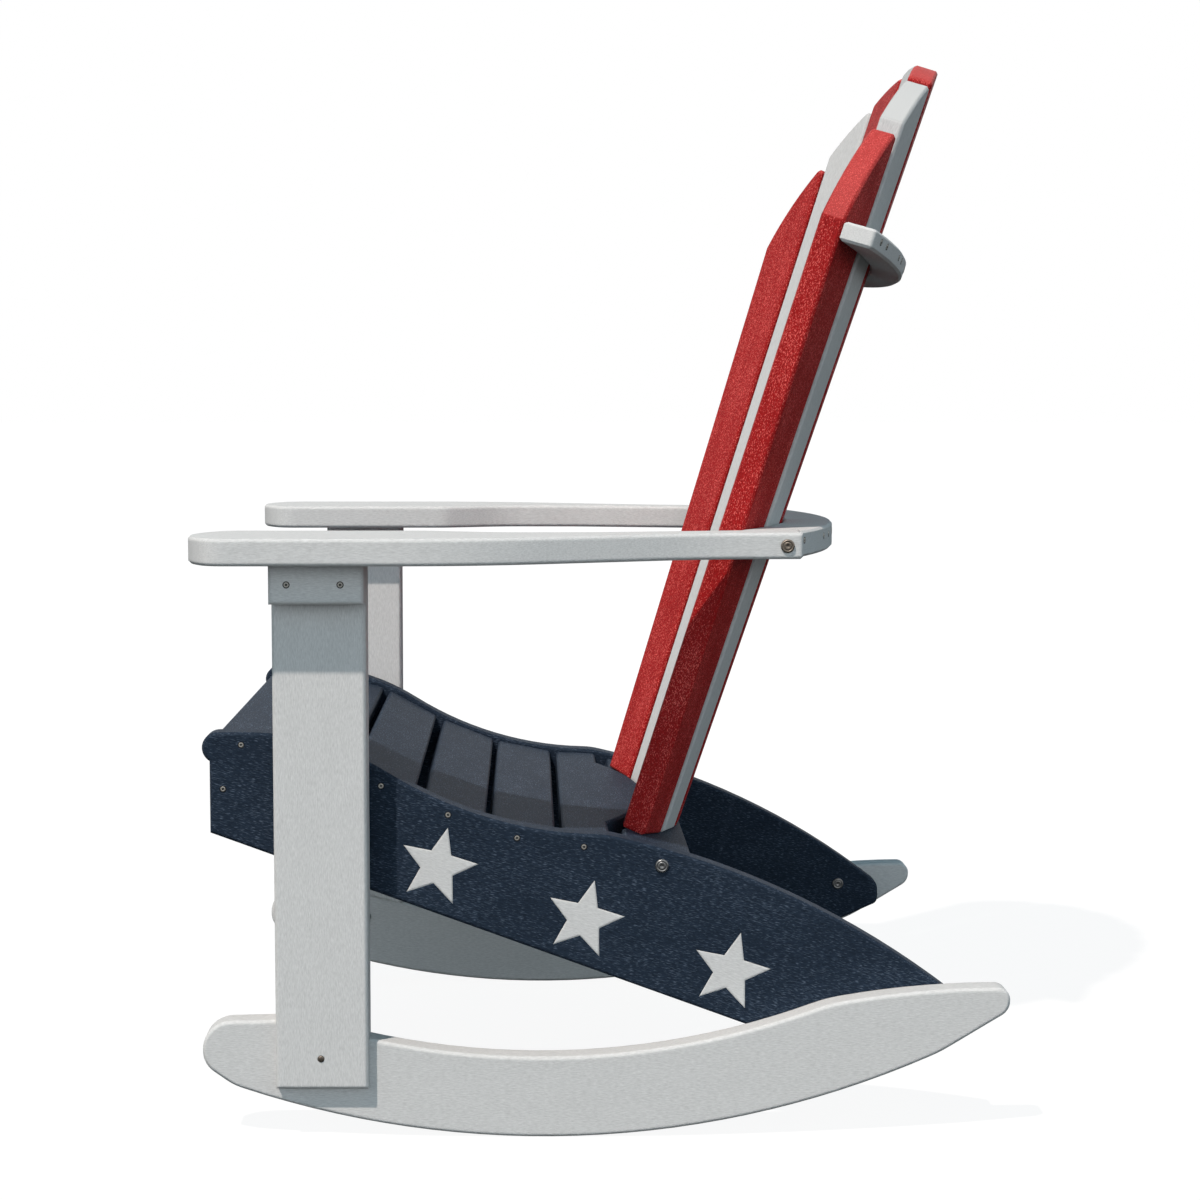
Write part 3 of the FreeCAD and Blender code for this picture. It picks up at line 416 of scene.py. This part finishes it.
# Where the left one's head is seated in mm, as in the CAD; outward 1 faces away from the chair's middle
bolts = {
    "armBolts": {"node": "arm_bolts", "place": (277.0, 176.0, 573.2), "outward": 1,
                 "length": 85.0, "steel": brownSteel},
    "braceBolts": {"node": "brace_bolts", "place": (275.4, 57.32, 262.13), "outward": 1,
                   "length": 70.0, "steel": greySteel},
    "rockerBolts": {"node": "rocker_bolts", "place": (250.0, 303.2, 127.8), "outward": -1,
                    "length": 45.7, "steel": greySteel},
    "legBolts": {"node": "leg_bolts", "place": (275.4, -271.9, 81.2), "outward": -1,
                 "length": 37.1, "steel": greySteel},
}
for name, bolt in bolts.items():
    x, y, z = bolt["place"]
    places = [((x * side * mm, y * mm, z * mm), (side * bolt["outward"], 0, 0)) for side, hand in hands]
    piece = turnedHeads(name, boltProfile(bolt["length"]), places, boltHead["spokes"], [bolt["steel"]])
    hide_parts(bolt["node"])
print("bolts turned")

screwHead = {
    "profile": [  # radius, height, squareness, then 0 for steel and 1 for painted shade
        (0, -0.3, 0, 1), (3.3, -0.3, 0, 1), (3.35, 0.1, 0, 1), (3.1, 0.16, 0, 1), (2.75, 0.04, 0, 1),
        (2.5, 0.04, 0, 0), (2.35, 0.30, 0, 0), (1.95, 0.38, 0, 0), (1.25, 0.36, 0.6, 0),
        (0.95, 0.30, 1, 1), (0.85, 0.05, 1, 1), (0, 0.04, 0, 1),
    ],
    "spokes": 24, "twistSeed": 4,
}
sideStart, rimStart = 0.5, 0.3  # how far outside the boards a screw's line starts, in metres
# Places on the boards' outer sides as (y, z) in mm
sideScrews = [(-350.1, 380.5), (-368.1, 337.5), (-280.0, 364.1), (-215.1, 340.4), (-150.3, 312.0),
              (-83.4, 289.3), (-18.4, 280.5)]
bracketScrews = [(-298.1, 541.1), (-247.8, 541.1)]
# Behind each slat, how far its two screws sit from its middle, and their height in the back's frame;
# a level is the row's own height, for the brace that lies level
rimScrews = {
    "upper_back_brace": {"spread": 0.0105, "outerSpread": (0.0105, -0.0105), "height": 0.628},
    "arm_back_brace": {"spread": 0.017, "outerSpread": (0.018,), "height": 0.330, "level": 0.5765},
}


# From beside the chair straight onto a board's outer side
def meetSide(boardName, side, y, z):
    return meetBoard(boardName, (side * sideStart, y * mm, z * mm), (-side, 0, 0))


screwPlaces = []
for side, hand in hands:
    for y, z in sideScrews:
        screwPlaces.append(meetSide("seat_side_" + hand, side, y, z))
    for y, z in bracketScrews:
        screwPlaces.append(meetSide("arm_bracket_" + hand, side, y, z))
for boardName, screws in rimScrews.items():
    for number in back["slats"]:
        angle = slatAngle(number)
        spreads = (-screws["spread"], screws["spread"])
        if number in (back["slats"][0], back["slats"][-1]):
            outermost = 1 if number > back["middle"] else -1
            spreads = [away * outermost for away in screws["outerSpread"]]
        for away in spreads:
            reach = back["radius"] + back["spread"] * screws["height"]
            x = (reach + rimStart) * math.sin(angle) + away * math.cos(angle)
            n = (reach + rimStart) * math.cos(angle) - reach - away * math.sin(angle)
            start = fromBack(x, n, screws["height"])
            way = fromBack(-math.sin(angle), -math.cos(angle), 0, False)
            if "level" in screws:
                start.z = screws["level"]
                way.z = 0
            screwPlaces.append(meetBoard(boardName, start, way))
twists = np.random.default_rng(screwHead["twistSeed"]).uniform(0, math.pi / 2, len(screwPlaces))
screwMaterials = [screwSteel, paintedRecessShade]
turnedHeads("boardScrews", screwHead["profile"], screwPlaces, screwHead["spokes"], screwMaterials, twists)

# The leg bolts' ends; the rim round each is painted shade
legButton = {
    "profile": [(0, -0.4, 0, 1), (3.4, -0.4, 0, 1), (3.4, 0.1, 0, 1), (3.1, 0.12, 0, 0), (3.0, 0.5, 0, 0),
                (2.6, 0.85, 0, 0), (1.4, 1.05, 0, 0), (0, 1.1, 0, 0)],
    "place": (-271.8, 81.5), "spokes": 24,
}
buttonPlaces = [meetSide("front_leg_" + hand, side, *legButton["place"]) for side, hand in hands]
turnedHeads("legBoltEnds", legButton["profile"], buttonPlaces, legButton["spokes"], [brownSteel, paintedRecessShade])
print("screws set,", len(screwPlaces))

# The camera sees the floor as a white glow with a share of the chair's shadow in it; other rays meet a
# dim one. It lies a little below the rockers.
floorSet = {
    "reach": 60.0, "sink": 0.3 * mm, "grain": {"Scale": 2.0},
    "pale": ((0.80, 0.80, 0.80), (0.84, 0.84, 0.84)), "glow": 1.06, "shadowShare": 0.13,
    "dim": (0.05, 0.05, 0.05),
}
white = rgba((1, 1, 1))


def floorMaterial():
    material, tree = newMaterial("paleFloor")
    tree.nodes.clear()
    pale = mixColour(tree, ownNoise(tree, floorSet["grain"]), *[rgba(colour) for colour in floorSet["pale"]])
    seen = addNode(tree, "ShaderNodeBsdfDiffuse", {"Color": pale}).outputs[0]
    glow = addNode(tree, "ShaderNodeEmission", {"Color": white, "Strength": floorSet["glow"]}).outputs[0]
    shown = addNode(tree, "ShaderNodeMixShader", {0: floorSet["shadowShare"], 1: glow, 2: seen}).outputs[0]
    dim = addNode(tree, "ShaderNodeBsdfDiffuse", {"Color": rgba(floorSet["dim"])}).outputs[0]
    isCamera = addNode(tree, "ShaderNodeLightPath").outputs["Is Camera Ray"]
    mixed = addNode(tree, "ShaderNodeMixShader", {0: isCamera, 1: dim, 2: shown}).outputs[0]
    addNode(tree, "ShaderNodeOutputMaterial", {"Surface": mixed})
    return material


wide = floorSet["reach"]
floorMesh = bpy.data.meshes.new("floor")
floorCorners = [(-wide, -wide, 0), (wide, -wide, 0), (wide, wide, 0), (-wide, wide, 0)]
floorMesh.from_pydata(floorCorners, [], [(0, 1, 2, 3)])
floorMesh.materials.append(floorMaterial())
floor = bpy.data.objects.new("floor", floorMesh)
floor.location.z = -floorSet["sink"]
scene.collection.objects.link(floor)

# One sun, and a pale sky that is strongest at the horizon and on the camera's side
sunSet = {"way": (-1.0, 0.73, -1.94), "strength": 3.22, "colour": (1.0, 0.895, 0.82), "softness": 1.2}
skySet = {
    "horizon": (1.07, 1.175, 1.23), "narrowness": 3.5, "allRound": 0.44, "fromSide": 1.16, "least": 0.18,
    "zenith": (0.02, 0.17, 0.26),
}

sunData = bpy.data.lights.new("sun", "SUN")
sunData.energy = sunSet["strength"]
sunData.color = sunSet["colour"]
sunData.angle = math.radians(sunSet["softness"])
sun = bpy.data.objects.new("sun", sunData)
sun.rotation_mode = "QUATERNION"
sun.rotation_quaternion = Vector(sunSet["way"]).to_track_quat("-Z", "Y")
scene.collection.objects.link(sun)


def scaledColour(tree, colour, strength):
    return addNode(tree, "ShaderNodeVectorMath", {0: colour, 3: strength}, operation="SCALE").outputs[0]


# Horizon colour times (1 - z squared) to the narrowness times the side's strength, plus the zenith's
# colour times z. The camera, gloss and glass see plain white instead.
def makeSky():
    world = bpy.data.worlds.new("sky")
    scene.world = world
    world.use_nodes = True
    tree = world.node_tree
    tree.nodes.clear()
    way = addNode(tree, "ShaderNodeTexCoord").outputs["Generated"]
    wayParts = addNode(tree, "ShaderNodeSeparateXYZ", {0: way}).outputs
    level = calc(tree, "SUBTRACT", 1.0, calc(tree, "MULTIPLY", wayParts[2], wayParts[2]), clamp=True)
    around = calc(tree, "MULTIPLY_ADD", wayParts[0], skySet["fromSide"], skySet["allRound"])
    around = calc(tree, "MAXIMUM", around, skySet["least"])
    strength = calc(tree, "MULTIPLY", calc(tree, "POWER", level, skySet["narrowness"]), around)
    horizon = scaledColour(tree, skySet["horizon"], strength)
    zenith = scaledColour(tree, skySet["zenith"], calc(tree, "MAXIMUM", wayParts[2], 0.0))
    skyColour = addNode(tree, "ShaderNodeVectorMath", {0: horizon, 1: zenith}, operation="ADD").outputs[0]
    glow = addNode(tree, "ShaderNodeBackground", {"Color": skyColour, "Strength": 1.0}).outputs[0]
    plain = addNode(tree, "ShaderNodeBackground", {"Color": white, "Strength": 1.0}).outputs[0]
    path = addNode(tree, "ShaderNodeLightPath").outputs
    seenDirect = calc(tree, "MAXIMUM", path["Is Camera Ray"], path["Is Glossy Ray"])
    seenDirect = calc(tree, "MAXIMUM", seenDirect, path["Is Transmission Ray"])
    mixed = addNode(tree, "ShaderNodeMixShader", {0: seenDirect, 1: glow, 2: plain}).outputs[0]
    addNode(tree, "ShaderNodeOutputWorld", {"Surface": mixed})


makeSky()
scene.view_settings.view_transform = "Standard"
print("floor and light set")
